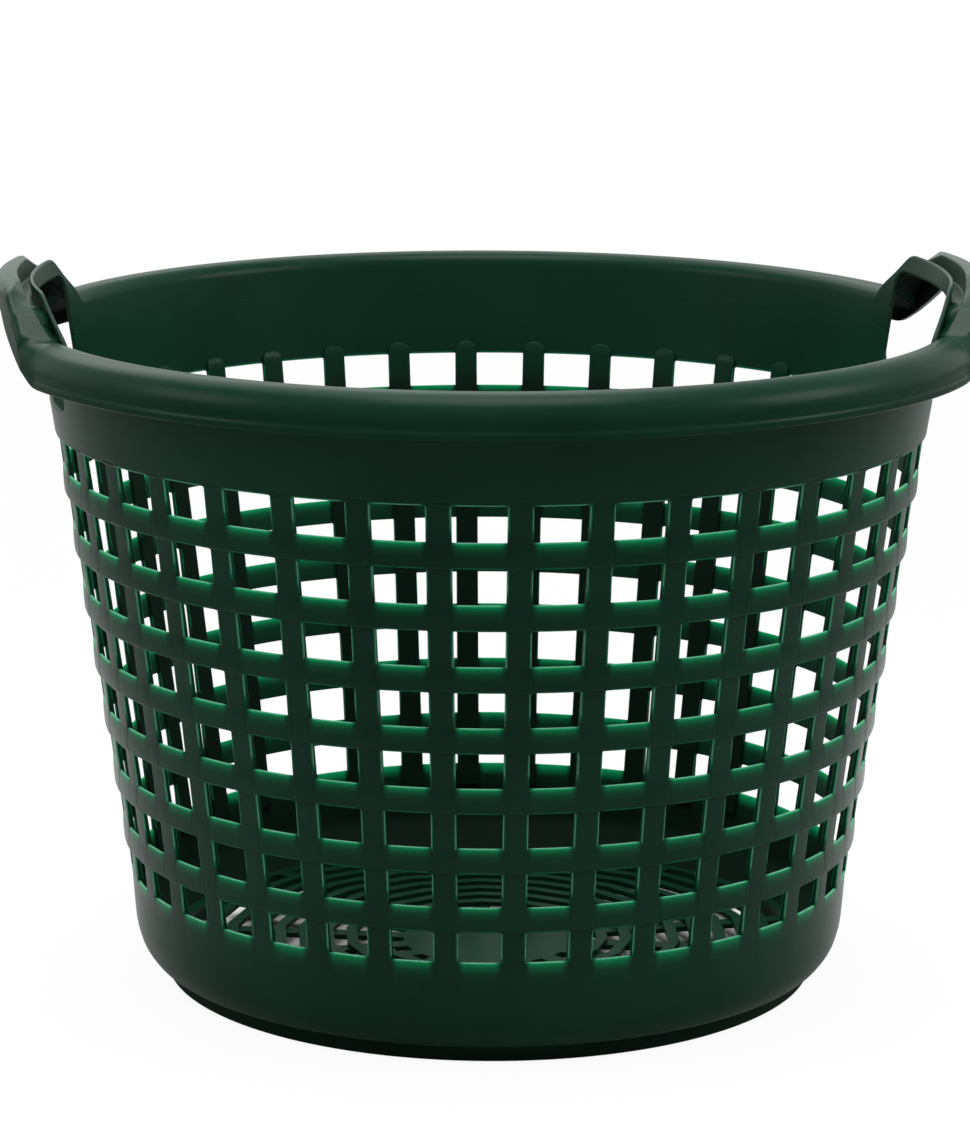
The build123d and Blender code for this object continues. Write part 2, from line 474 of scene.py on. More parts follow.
@dataclass
class Skin:
    """A closed surface: rows of points along a path, each row a closed outline."""

    points: Array
    loop: bool = False
    # Per point: painted glow and highlight where positive, which also lets light through, and
    # painted shade where negative.
    thin_glow_shade: Size = 0.0
    sharp_degrees: float = 38.0

    def faces(self) -> list[list[int]]:
        """Quads between neighbouring rows, and an end face on each end of an open path.

        The sign of the volume that the quads enclose tells whether they point outwards.

        Returns:
            Corner numbers of the faces, turned outwards.
        """
        rows, columns = self.points.shape[:2]
        number = np.arange(rows * columns).reshape(rows, columns)
        ends = [] if self.loop else [number[0].tolist(), number[-1, ::-1].tolist()]
        after = np.roll(number, -1, axis=0)
        if not self.loop:
            number, after = number[:-1], after[:-1]
        ahead = [np.roll(number, -1, axis=1), np.roll(after, -1, axis=1)]
        quads = np.stack([number, after, ahead[1], ahead[0]], axis=2).reshape(-1, 4)
        flat = self.points.reshape(-1, 3) - self.points.reshape(-1, 3).mean(axis=0)
        a, b, c, d = (flat[quads[:, corner]] for corner in range(4))
        volume = np.sum(a * np.cross(b, c)) + np.sum(a * np.cross(c, d))
        found = quads.tolist() + ends
        return found if volume > 0 else [face[::-1] for face in found]

    def piece(self, node: str, material: bpy.types.Material) -> bpy.types.Object:
        """Make the mesh and let it stand for its CAD node.

        Args:
            node: CAD node that it replaces.
            material: Its finish.

        Returns:
            The new object, at the origin.
        """
        name = f"moulded_{node}"
        mesh = bpy.data.meshes.new(name)
        mesh.from_pydata((self.points.reshape(-1, 3) * MM).tolist(), [], self.faces())
        thin_glow_shade = np.broadcast_to(self.thin_glow_shade, self.points.shape[:2]).astype(np.float32)
        attribute = mesh.attributes.new("thin_glow_shade", "FLOAT", "POINT")
        attribute.data.foreach_set("value", np.ascontiguousarray(thin_glow_shade).ravel())
        mesh.shade_smooth()
        mesh.set_sharp_from_angle(angle=math.radians(self.sharp_degrees))
        mesh.materials.append(material)
        piece = bpy.data.objects.new(name, mesh)
        bpy.context.scene.collection.objects.link(piece)
        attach(piece, BODY)
        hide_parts(node)
        return piece


class Part:
    """A sub-assembly whose pieces are skins, one for each CAD node."""

    def skins(self) -> Iterator[tuple[str, Skin]]:
        """Yield the name of each node and the surface that stands for it."""
        raise NotImplementedError

    def build(self, material: bpy.types.Material) -> Iterator[bpy.types.Object]:
        """Yield the pieces, made and dressed in the finish."""
        for node, skin in self.skins():
            yield skin.piece(node, material)


@dataclass(frozen=True)
class Wall:
    """The tapered wall: a cone between the hoops outside and the staves inside."""

    base_radius: float = 150.3
    slope: float = 0.151
    skirt_top: float = 47.5
    band_bottom: float = 243.4
    band_top: float = 274.0
    band_thickness: float = 1.8
    stave_count: int = 36
    stave_width: float = 10.8
    pitch_places: tuple = (-0.5, -0.42, -0.34, -0.26, -0.225, -0.2, -0.175, -0.15, -0.08)
    near_inset: float = -0.6
    near_soft: float = 1.5
    dip: float = 0.6
    dip_inset: float = 1.4
    dip_soft: float = 0.9

    def radius(self, z: Size) -> Size:
        """Radius of the cone at a height."""
        return self.base_radius + self.slope * z

    def angles(self) -> Array:
        """Angles all round, closer together at the edges of the staves.

        Returns:
            Rising angles in radians.
        """
        half = np.array(self.pitch_places)
        places = np.concatenate([half, [0.0], -half[:0:-1]])
        staves = np.arange(self.stave_count)[:, None]
        return ((staves + places) * 2 * math.pi / self.stave_count).ravel()

    def crossing(self, angles: Array, radius: float, inset: float, soft: float) -> Array:
        """1 on a stave, 0 between staves, with soft edges.

        Args:
            angles: Angles round the axis in radians.
            radius: Radius at which the stave's width is measured.
            inset: Distance by which each edge is moved towards the middle of the stave.
            soft: Half width of the soft edge.

        Returns:
            One number for each angle.
        """
        turns = angles * self.stave_count / (2 * math.pi)
        offset = np.abs(turns - np.round(turns)) * 2 * math.pi / self.stave_count * radius
        half = self.stave_width / 2 - inset
        return smooth_step(offset, half + soft, half - soft)

    def between(self, angles: Array, radius: float) -> Array:
        """1 between the staves, 0 on them and close beside them."""
        return 1 - self.crossing(angles, radius, self.near_inset, self.near_soft)

    def sunk(self, angles: Array, radius: float) -> Array:
        """How far a face dips out of sight under the staves' skins."""
        return self.dip * self.crossing(angles, radius, self.dip_inset, self.dip_soft)


@dataclass
class Hoops(Part):
    """The seven level hoops of the lattice."""

    wall: Wall
    count: int = 7
    first_top: float = 228.2
    pitch: float = 26.05
    height: float = 10.8
    top_lift: float = 0.9
    bottom_lift: float = 2.1
    belly: float = 0.2
    face_rows: int = 5
    inner_rows: tuple = (2.2, 5.0)
    corner_cuts: tuple = (0.15, 0.4, 0.9, 0.9, 0.9, 0.45, 0.15, 0.1, 0.1)
    corner_steps: int = 3
    # Painted glow and painted highlight lines between the staves.
    top_glow: float = 0.48
    glow_depth: float = 2.2
    edge_glow: float = 0.85
    low_glow: float = 0.4
    inner_glow: float = 0.64
    inner_depth: float = 2.6
    inner_reach: float = 0.1

    def lift(self, share: Size) -> Size:
        """Distance of the outer face from the cone, by the share of the height below its top."""
        belly = 4 * self.belly * share * (1 - share)
        return self.top_lift + (self.bottom_lift - self.top_lift) * share + belly

    def skin(self, number: int) -> Skin:
        """One hoop: an almost upright outer face with a slight belly, carried round the wall.

        Under each stave's skin the outer face dips out of sight. Between the staves a painted
        glow, which also lets light through, falls off as exp(-distance / depth) from the top edge
        on both faces. The outer face has a painted highlight line along its top edge and a faint
        one along its lower edge.

        Args:
            number: Place of the hoop, counted down from 0.

        Returns:
            Its surface.
        """
        wall = self.wall
        top = self.first_top - number * self.pitch
        bottom = top - self.height
        inner_top = wall.radius(top)
        angles = wall.angles()
        sunk = wall.sunk(angles, inner_top)
        corners = [(wall.radius(bottom), bottom)]
        for share in np.linspace(1, 0, self.face_rows):
            z = top - share * self.height
            corners.append((wall.radius(z) + self.lift(share) - sunk, z))
        corners.append((inner_top, top))
        corners += [(wall.radius(top - drop), top - drop) for drop in self.inner_rows]
        sections = rounded(outlines(len(angles), corners), self.corner_cuts, self.corner_steps)
        radius, z = sections[..., 0], sections[..., 1]
        below = top - z
        # Painted highlight lines along the top and lower edges.
        line = self.edge_glow * edge_highlight(below) + self.low_glow * edge_highlight(z - bottom)
        outer = np.maximum(self.top_glow * np.exp(-below / self.glow_depth), line)
        inner = self.inner_glow * np.exp(-below / self.inner_depth)
        inside = radius < wall.radius(z) + self.inner_reach
        thin_glow_shade = np.where(inside, inner, outer) * wall.between(angles, inner_top)[:, None]
        return Skin(turned(sections, angles), loop=True, thin_glow_shade=thin_glow_shade)

    def skins(self) -> Iterator[tuple[str, Skin]]:
        """Yield the hoops from the top one down."""
        for number in range(self.count):
            yield f"hoop_{number + 1}", self.skin(number)


@dataclass
class Staves(Part):
    """The upright slats: a skin that flows over the hoops, and thumb-shaped tops in the band."""

    wall: Wall
    hoops: Hoops
    inner_low: float = 37.5
    inner_fade: float = 0.4
    inner_sink: float = 0.4
    high: float = 248.9
    width: float = 10.3
    inner_flat: float = 0.75
    thickness: float = 1.4
    crown: float = 0.12
    corner_cuts: tuple = (0.25, 0.65, 0.9, 0.65, 0.25, 0.1, 0.1)
    corner_steps: int = 3
    top_round: float = 4.2
    thumb_dome: float = 0.85
    cap_rows: int = 8
    proud: float = 0.05
    window_lift: float = 0.6
    step_start: float = 10.6
    step_end: float = 11.6
    soft: float = 0.5
    band_lift: float = 1.83
    band_gap: float = 0.3
    band_sink: float = 0.8
    skirt_lift: float = 1.25
    skirt_slope: float = 0.03
    skirt_sink: float = 0.5
    sink_range: tuple = (1.0, 8.0)
    row_drops: tuple = (
        0.0, 1.7, 3.4, 5.1, 6.8, 8.5, 9.7, 10.6,
        10.8, 11.0, 11.3, 11.6, 13.0, 16.0, 20.0,
    )
    foot_rows: tuple = (
        22.0, 27.0, 31.0, 35.0, 37.1, 37.9, 40.0,
        42.0, 44.0, 46.0, 47.5, 49.5, 52.0,
    )
    cap_gap: float = 0.2
    foot_gap: float = 0.5
    # Painted glow and highlight on the window edges, painted shade on the inner face.
    window_start: float = 1.0
    edge_glow: float = 0.85
    edge_width: tuple = (0.9, 0.35)
    edge_depth: tuple = (0.9, 0.45)
    inner_shade: float = 0.7
    dark_fade: float = 16.0
    inner_glow: float = 0.5
    glow_width: tuple = (0.5, 0.2)
    least_glow: float = 0.1
    inner_reach: float = 0.3

    def drop(self, z: Array) -> Array:
        """Distance below the top edge of the hoop above or beside each height."""
        return np.mod(self.hoops.first_top - z, self.hoops.pitch)

    def lift(self, z: Array) -> Array:
        """How far the outer face stands off the wall cone.

        Over a hoop it follows the hoop's face. Below the hoop a cubic step brings it in to the
        window, and another brings it out to the next hoop's top. At the band it is level with the
        band's face and then sinks into it, and at the foot it sinks into the skirt likewise.

        Args:
            z: Heights.

        Returns:
            Distances outwards.
        """
        hoops, skirt, band = self.hoops, self.wall.skirt_top, self.wall.band_bottom
        drop = self.drop(z)
        over = hoops.lift(np.clip(drop / hoops.height, 0.0, 1.0)) + self.proud
        inward = hoops.bottom_lift - self.window_lift
        outward = hoops.top_lift - self.window_lift
        swell = over - inward * smooth_step(drop, self.step_start, self.step_end)
        swell += outward * smooth_step(drop, self.step_end, hoops.pitch)
        level = hoops.bottom_lift + self.proud - self.band_lift
        swell -= level * smooth_step(z, band - self.soft, band)
        swell -= self.band_sink * smooth_step(z, band + self.band_gap, self.high)
        start = hoops.first_top - (hoops.count - 1) * hoops.pitch - self.step_end
        below = np.clip(skirt - z, 0.0, None)
        foot = self.window_lift + self.proud
        foot += (self.skirt_lift - foot) * smooth_step(z, start, skirt)
        foot += self.skirt_slope * below - self.skirt_sink * smooth_step(below, *self.sink_range)
        return np.where(z < start, foot, swell)

    def rows(self) -> Array:
        """Heights of the sections, close together where the skin bends most.

        Returns:
            Rising heights.
        """
        tops = self.hoops.first_top - np.arange(-1, self.hoops.count) * self.hoops.pitch
        over = (tops[:, None] - np.array(self.row_drops)).ravel()
        start = self.high - self.top_round
        cap = start + self.top_round * np.sin(np.linspace(0, math.pi / 2, self.cap_rows))
        above_foot = over > self.foot_rows[-1] + self.foot_gap
        over = over[above_foot & (over < start - self.cap_gap)]
        return np.unique(np.concatenate([np.array(self.foot_rows), over, cap]))

    def glow_and_shade(self, z: Array, inset: Array, depth: Array, inside: Array) -> Array:
        """Painted glow, which also lets light through, on the edges of the windows, and painted
        shade on the inner face below the band.

        Args:
            z: Height of each row, (n,).
            inset: Distance of each point from the side of the stave, (n, m).
            depth: Distance of each point behind the outer face, (n, m).
            inside: Whether each point is on the inner face, (n, m).

        Returns:
            Values of the attribute "thin", (n, m).
        """
        hoop, skirt, band = self.hoops.height, self.wall.skirt_top, self.wall.band_bottom
        window = smooth_step(self.drop(z), hoop - self.soft, hoop + self.window_start)
        window *= smooth_step(z, skirt - self.soft, skirt + self.soft)
        window *= smooth_step(z, band + self.soft, band - self.soft)
        edge = smooth_step(inset, *self.edge_width) * smooth_step(depth, *self.edge_depth)
        # Painted shade on the inner face, darker below the band.
        dark = -self.inner_shade * smooth_step(z, band, band - self.dark_fade)
        glow = self.inner_glow * smooth_step(inset, *self.glow_width) * window[:, None]
        inner = np.where(glow > self.least_glow, glow, dark[:, None])
        return np.where(inside, inner, self.edge_glow * edge * window[:, None])

    def skin(self, number: int) -> Skin:
        """One stave: an oblong section with rounded edges carried up the wall.

        Its half width is constant up to the thumb, where it is
        half - round + sqrt(round^2 - (z - start)^2), and the thumb's inner face is domed alike.

        Args:
            number: Place of the stave, counted from the +X side.

        Returns:
            Its surface.
        """
        half = self.width / 2
        z = self.rows()
        over = np.clip(z - self.high + self.top_round, 0.0, self.top_round)
        width = half - self.top_round + np.sqrt(self.top_round**2 - over**2)
        chord = np.sqrt(self.wall.radius(z) ** 2 - half**2)
        hidden = smooth_step(z, self.inner_low + self.inner_fade, self.inner_low - self.inner_fade)
        dome = np.sqrt(1 - self.thumb_dome * (over / self.top_round) ** 2)
        inner = chord - self.thickness * (1 - hidden) * dome + self.inner_sink * hidden
        face = chord + self.lift(z)
        corners = [
            (inner, -width),
            (face, -width),
            (face + self.crown, 0.0),
            (face, width),
            (inner, width),
            (inner, self.inner_flat * width),
            (inner, -self.inner_flat * width),
        ]
        sections = rounded(outlines(len(z), corners), self.corner_cuts, self.corner_steps)
        out, across = sections[..., 0], sections[..., 1]
        turn = number * 2 * math.pi / self.wall.stave_count
        x = out * math.cos(turn) - across * math.sin(turn)
        y = out * math.sin(turn) + across * math.cos(turn)
        points = np.stack([x, y, np.broadcast_to(z[:, None], x.shape)], axis=2)
        inset = width[:, None] - np.abs(across)
        depth = face[:, None] - out
        inside = out < inner[:, None] + self.inner_reach
        return Skin(points, thin_glow_shade=self.glow_and_shade(z, inset, depth, inside))

    def skins(self) -> Iterator[tuple[str, Skin]]:
        """Yield the staves counted from the +X side."""
        for number in range(self.wall.stave_count):
            yield f"stave_{number + 1:02d}", self.skin(number)


@dataclass
class Skirt(Part):
    """The closed lower wall with its rounded corner, and the foot ring under it."""

    wall: Wall
    top_thickness: float = 1.2
    floor_edge: float = 144.6
    underside: float = 6.5
    floor_top: float = 8.7
    outer_corners: tuple = (
        (149.6, 8.3), (154.2, 14.4), (156.6, 22.5), (157.6, 34.0), (158.2, 43.5),
    )
    inner_heights: tuple = (44.5, 40.5, 35.5, 22.0)
    corner_cuts: tuple = (0.2, 0.25, 2.6, 3.2, 3.6, 3.0, 1.5, 0.45, 0.3, 0.1, 0.1, 0.1, 3.0)
    corner_steps: int = 5
    inner_corners: tuple = (0.5, 8.5)
    # Painted shade on the lower inner face; painted glow and highlight line between the staves.
    inner_shade: float = 0.7
    dark_range: tuple = (2.0, 12.0)
    inner_glow: float = 0.6
    inner_depth: float = 6.0
    glow: float = 0.45
    glow_depth: float = 3.4
    edge_glow: float = 0.85
    foot_outer: float = 143.2
    foot_inner: float = 139.6
    foot_cuts: tuple = (0.9, 0.9, 0.1, 0.1)
    foot_steps: int = 4
    foot_sides: int = 240
    # Painted shade over the whole foot ring.
    foot_shade: float = 0.6

    def skin(self) -> Skin:
        """The skirt: its section carried round the axis.

        Between the staves a painted glow, which also lets light through, falls off as
        exp(-distance below the top / glow depth) on both faces, with a painted highlight line
        along the top edge outside, and painted shade darkens the inner face lower down.

        Returns:
            Its surface.
        """
        wall, top = self.wall, self.wall.skirt_top
        angles = wall.angles()
        inner_top = wall.radius(top)
        between = wall.between(angles, inner_top)[:, None]
        corners = [
            (self.floor_edge, self.floor_top),
            (self.floor_edge, self.underside),
            *self.outer_corners,
            (inner_top + self.top_thickness, top),
            (inner_top, top),
            *[(wall.radius(z), z) for z in self.inner_heights],
        ]
        section = rounded(outlines(1, corners), self.corner_cuts, self.corner_steps)[0]
        below = top - section[:, 1]
        line = self.edge_glow * edge_highlight(below)
        outer = np.maximum(self.glow * np.exp(-below / self.glow_depth), line) * between
        inner = self.inner_glow * np.exp(-below / self.inner_depth) * between
        # Painted shade, darker lower down the inner face.
        inner -= self.inner_shade * smooth_step(below, *self.dark_range)
        corner = corner_places(len(section), len(corners))
        end, start = self.inner_corners
        thin_glow_shade = np.where((corner >= start) | (corner < end), inner, outer)
        return Skin(turned(section, angles), loop=True, thin_glow_shade=thin_glow_shade)

    def foot(self) -> Skin:
        """The foot ring, darkened all over with painted shade for the skirt's shadow: a rounded
        oblong carried round the axis.

        Returns:
            Its surface.
        """
        corners = [
            (self.foot_inner, 0.0),
            (self.foot_outer, 0.0),
            (self.foot_outer, self.underside),
            (self.foot_inner, self.underside),
        ]
        section = rounded(outlines(1, corners), self.foot_cuts, self.foot_steps)[0]
        angles = np.linspace(0, 2 * math.pi, self.foot_sides, endpoint=False)
        return Skin(turned(section, angles), loop=True, thin_glow_shade=-self.foot_shade)

    def skins(self) -> Iterator[tuple[str, Skin]]:
        """Yield the skirt and the foot ring."""
        yield "skirt", self.skin()
        yield "foot_ring", self.foot()


@dataclass
class HandHole:
    """The rounded opening under each grip, across the handle."""

    half_width: float = 59.0
    bottom: float = 258.0
    top: float = 300.2
    corner: float = 8.0
    corner_rows: int = 9
    spacing: float = 2.5

    def rise(self, across: Array) -> Array:
        """How far the corners close in on the bottom or the top edge.

        It is corner - sqrt(corner^2 - run^2), where run is the distance into the corner.

        Args:
            across: Distances from the middle of the handle.

        Returns:
            Heights above the bottom edge, or depths below the top edge.
        """
        run = np.clip(np.abs(across) - self.half_width + self.corner, 0.0, self.corner)
        return self.corner - np.sqrt(self.corner**2 - run**2)

    def places(self) -> Array:
        """Distances across the opening, closer together in its corners.

        Returns:
            Rising distances from the middle.
        """
        straight = self.half_width - self.corner
        turn = np.linspace(0, math.pi / 2, self.corner_rows)[1:]
        corner = straight + self.corner * np.sin(turn)
        count = int(2 * straight / self.spacing)
        return np.concatenate([-corner[::-1], np.linspace(-straight, straight, count), corner])


@dataclass(frozen=True)
class RimShape:
    """What the rim and the grips share: the lower edge climbs in a straight slope under a grip."""

    knots: tuple = ((0.0, 301.0), (42.0, 299.8), (49.0, 294.2), (84.5, 273.5), (120.0, 273.5))
    softness: float = 1.2
    roll_start: float = 283.5
    crest: float = 291.0
    crest_radius: float = 200.04
    grip_outer: float = 213.2
    lip_height: float = 3.0
    lip_slant: float = 0.6

    def low(self, across: Array) -> Array:
        """Height of the lower edge at distances from the middle of a handle."""
        return soft_line(np.abs(across), self.knots, self.softness)


@dataclass
class UpperBand(Part):
    """The closed band under the rim, cut down to the lower edge of the hand holes."""

    wall: Wall
    hole: HandHole
    glow_height: float = 2.0
    edge_glow: float = 0.85
    low_cuts: tuple = (0.2, 0.5, 0.3)
    high_cut: float = 0.3
    plain_round: float = 0.02
    corner_steps: int = 4

    def skyline(self) -> tuple[Array, Array, Array]:
        """Top edge of the band all round.

        Returns:
            Angles, heights, and the radius by which the top edge is rounded.
        """
        across = self.hole.places()
        inside = np.arcsin(across / self.wall.radius(self.wall.band_top))
        edge = float(inside[-1])
        ring = self.wall.angles()
        between = ring[(ring > edge) & (ring < math.pi - edge)]
        plain = np.concatenate([[edge], between, [math.pi - edge]])
        angles = np.concatenate([inside, plain, math.pi + inside, math.pi + plain])
        low = self.hole.bottom + self.hole.rise(across)
        high = np.full(len(plain), self.wall.band_top)
        half_round = np.full(len(inside), self.wall.band_thickness / 2 - HAIR)
        almost_sharp = np.full(len(plain), self.plain_round)
        heights = np.concatenate([low, high] * len(Side))
        return angles, heights, np.concatenate([half_round, almost_sharp] * len(Side))

    def skin(self) -> Skin:
        """The band: a wall section of varying height carried round the axis.

        Its lower edge dips under the staves' skins, and between them has a painted highlight line
        and lets light through.

        Returns:
            Its surface.
        """
        angles, heights, rounds = self.skyline()
        wall, bottom, thickness = self.wall, self.wall.band_bottom, self.wall.band_thickness
        low, high = wall.radius(bottom), wall.radius(heights)
        above = bottom + self.glow_height
        above_radius = wall.radius(above)
        corners = [
            (low, bottom),
            (low + thickness - wall.sunk(angles, low), bottom),
            (above_radius + thickness, above),
            (high + thickness, heights),
            (high, heights),
            (above_radius, above),
        ]
        plain = np.tile(self.low_cuts, (len(angles), 1))
        last = np.full(len(angles), self.high_cut)
        cuts = np.column_stack([plain, rounds, rounds, last])
        sections = rounded(outlines(len(angles), corners), cuts, self.corner_steps)
        # Painted highlight line along the lower edge between the staves.
        line = self.edge_glow * edge_highlight(sections[..., 1] - bottom)
        thin_glow_shade = line * wall.between(angles, low)[:, None]
        return Skin(turned(sections, angles), loop=True, thin_glow_shade=thin_glow_shade)

    def skins(self) -> Iterator[tuple[str, Skin]]:
        """Yield the band."""
        yield "upper_band", self.skin()


@dataclass
class RolledRim(Part):
    """The rim between the handles: a rolled channel, open underneath, with a lip."""

    wall: Wall
    shape: RimShape
    outer: float = 211.34
    shoulder: float = 280.0
    shoulder_rise: float = 2.5
    swell_start: float = 86.0
    swell_end: float = 74.6
    lip: float = 0.55
    thickness: float = 2.0
    leg: float = 1.8
    corner_cuts: tuple = (0.02, 0.02, 1.5, 3.0, 1.0, 0.2, 0.5, 0.6, 0.6)
    corner_steps: int = 8
    roll_gap: float = 0.2
    skirt_gap: float = 1.3
    inner_gap: float = 0.1
    # Corners that bound the painted shade inside the channel.
    hollow_corners: tuple = (1.5, 5.5)
    half_angle: float = 69.515
    end_angle: float = 5.0
    end_rows: int = 20
    arc_rows: int = 130

    def sections(self, across: Array) -> tuple[Array, int]:
        """Outlines of the channel: inner leg, roll, outer skirt and lip.

        Near a handle the skirt moves out to the grip's and loses its lip.

        Args:
            across: Distance of each outline from the middle of the nearest handle, (n,).

        Returns:
            Points (n, m, 2), and the number of corners that they round.
        """
        wall, shape = self.wall, self.shape
        low = shape.low(across)
        swell = straight_step(across, self.swell_start, self.swell_end)
        outer = self.outer + (shape.grip_outer - self.outer) * swell
        lip = outer + FLUSH + (self.lip - FLUSH) * (1 - swell)
        lip_top = low + shape.lip_height
        inside = outer - self.thickness
        heights = (wall.band_top, shape.roll_start, shape.crest)
        foot, roll, inner = (wall.radius(z) for z in heights)
        corners = [
            (foot, wall.band_top),
            (foot + self.leg, wall.band_top),
            (roll + self.leg, shape.roll_start),
            (shape.crest_radius, shape.crest - self.thickness),
            (inside, np.maximum(self.shoulder, low + self.shoulder_rise)),
            (inside, low),
            (lip, low),
            (lip, lip_top - shape.lip_slant),
            (outer, lip_top + shape.lip_slant),
            (outer, shape.crest),
            (inner, shape.crest),
        ]
        plain = np.tile(self.corner_cuts, (len(low), 1))
        outer_roll = outer - shape.crest_radius - self.roll_gap
        outer_roll = np.minimum(outer_roll, shape.crest - lip_top - self.skirt_gap)
        inner_roll = np.full(len(low), shape.crest_radius - inner - self.inner_gap)
        cuts = np.column_stack([plain, outer_roll, inner_roll])
        return rounded(outlines(len(low), corners), cuts, self.corner_steps), len(corners)

    def skin(self, half: Half) -> Skin:
        """One half of the rim: the channel section carried round an arc, with painted shade inside
        the channel.

        Args:
            half: Front or back.

        Returns:
            Its surface.
        """
        ends = np.linspace(self.half_angle - self.end_angle, self.half_angle, self.end_rows)
        middle = np.linspace(-ends[0], ends[0], self.arc_rows)[1:-1]
        spread = np.concatenate([-ends[::-1], middle, ends])
        across = self.shape.grip_outer * np.sin(np.radians(90.0 - np.abs(spread)))
        sections, corners = self.sections(across)
        corner = corner_places(sections.shape[1], corners)
        # Painted shade on the faces inside the channel.
        start, end = self.hollow_corners
        hollow = np.where((corner >= start) & (corner < end), -1.0, 0.0)
        return Skin(turned(sections, np.radians(half.value + spread)), thin_glow_shade=hollow)

    def skins(self) -> Iterator[tuple[str, Skin]]:
        """Yield the two halves."""
        for half in Half:
            yield f"rim_{half.label}", self.skin(half)


@dataclass
class Handle(Part):
    """One handle: the raised inner wall with its hand hole, and the hollow arched grip."""

    wall: Wall
    hole: HandHole
    shape: RimShape
    side: Side
    measure_radius: float = 206.5
    # The raised wall.
    fin_line: tuple = ((0.0, 309.0), (48.0, 309.0), (59.0, 300.0), (70.6, 291.6), (74.6, 283.5))
    fin_softness: float = 1.5
    fin_columns: int = 26
    fin_rows: int = 18
    fin_cap_rows: int = 8
    join_half: float = 68.0
    join_run: float = 1.0
    join_sink: float = 0.45
    join_soft: float = 0.8
    # The grip.
    half_length: float = 70.0
    place_runs: tuple = ((0.0, 50.0, 36), (50.5, 62.5, 26))
    ramp_start: float = 62.8
    ramp_rows: int = 34
    shell: float = 2.2
    flank: float = 2.0
    valley: float = 203.4
    valley_end: float = 199.0
    valley_slant: float = 0.3
    crown_inner: float = 311.7
    crown_outer: float = 310.8
    end_face: tuple = ((46.0, 310.5), (50.0, 309.5), (53.0, 307.8), (59.2, 302.7), (61.0, 302.2))
    grip_softness: float = 0.5
    grip_beyond: float = 20.0
    shoulder_half: float = 52.0
    taper_half: float = 31.0
    taper_reach: float = 7.0
    taper_run: float = 5.0
    ramp_taper: float = 0.2
    under_taper: float = 0.6
    under_gap: float = 0.1
    under_crown: float = 1.0
    step: float = 302.4
    step_half: float = 61.0
    ledge: float = 0.06
    brow_gap: float = 0.05
    foot_half: float = 71.0
    end_run: float = 4.0
    pocket_start: float = 50.0
    pocket_half: float = 57.0
    pocket_depth: float = 9.0
    pocket_least: float = 0.1
    hole_gap: float = 0.6
    wall_lap: float = 0.4
    grip_cuts: tuple = (0.3, 0.4, 0.01, 0.01, 3.4, 0.5, 0.55, 0.8, 0.02, 0.02, 0.02, 0.6, 0.6)
    grip_steps: int = 5
    end_cut: float = 7.7
    lip_gap: float = 1.3
    ridge_gap: float = 0.6
    ridge_share: float = 0.2
    brow_share: float = 0.45
    # Corners that bound the painted shade in the hollow.
    hollow_corners: tuple = (0.5, 9.0)

    def turn(self, across: Array, radius: float) -> Array:
        """Angles round the axis of points that lie across the handle at a radius."""
        return np.arcsin(across / radius) + math.radians(self.side.value)

    def fin_skin(self) -> Skin:
        """The raised wall: the wall cone carried straight up past the rim.

        Its lower edge is the band, then the top of the hand hole; its upper edge is level over the
        grip, slopes down at both ends and then drops to run out on the rim's roll. Both edges are
        half round. Past the grip its foot moves outwards into the rim.

        Returns:
            Its surface.
        """
        cap = self.wall.band_thickness / 2
        hole = self.hole.places()
        beside = np.linspace(hole[-1], self.fin_line[-1][0], self.fin_columns)
        across = np.concatenate([-beside[::-1], hole, beside])
        foot = np.full(len(beside), self.wall.band_top - cap)
        low = np.concatenate([foot, self.hole.top - self.hole.rise(hole), foot])
        high = soft_line(np.abs(across), self.fin_line, self.fin_softness)
        t = np.linspace(0, 1, self.fin_rows)
        rise = low[:, None] + cap + (high - low - 2 * cap)[:, None] * t
        run_out = smooth_step(np.abs(across), self.join_half, self.join_half + self.join_run)
        roll = self.shape.roll_start
        sunk = smooth_step(rise, roll + self.join_soft, roll - self.join_soft)
        inner = self.wall.radius(rise) + run_out[:, None] * (self.join_sink * sunk - FLUSH)
        bend = np.linspace(0, math.pi, self.fin_cap_rows)[1:-1]
        top_r = inner[:, -1:] + cap + cap * np.cos(bend[::-1])
        top_z = rise[:, -1:] + cap * np.sin(bend[::-1])
        foot_r = inner[:, :1] + cap + cap * np.cos(bend)
        foot_z = rise[:, :1] - cap * np.sin(bend)
        outline_r = np.concatenate([inner, top_r, inner[:, ::-1] + 2 * cap, foot_r], axis=1)
        outline_z = np.concatenate([rise, top_z, rise[:, ::-1], foot_z], axis=1)
        angles = self.turn(across, self.wall.radius(self.wall.band_top))
        return Skin(turned(np.stack([outline_r, outline_z], axis=2), angles))

    def grip_end(self) -> float:
        """Half length of the grip at the measuring radius."""
        return self.measure_radius / self.shape.crest_radius * self.half_length

    def grip_places(self) -> Array:
        """Distances along the grip, close together at its steps.

        Returns:
            Rising distances from its middle.
        """
        runs = [*self.place_runs, (self.ramp_start, self.grip_end(), self.ramp_rows)]
        half = np.concatenate([np.linspace(*run) for run in runs])
        return np.concatenate([-half[:0:-1], half])

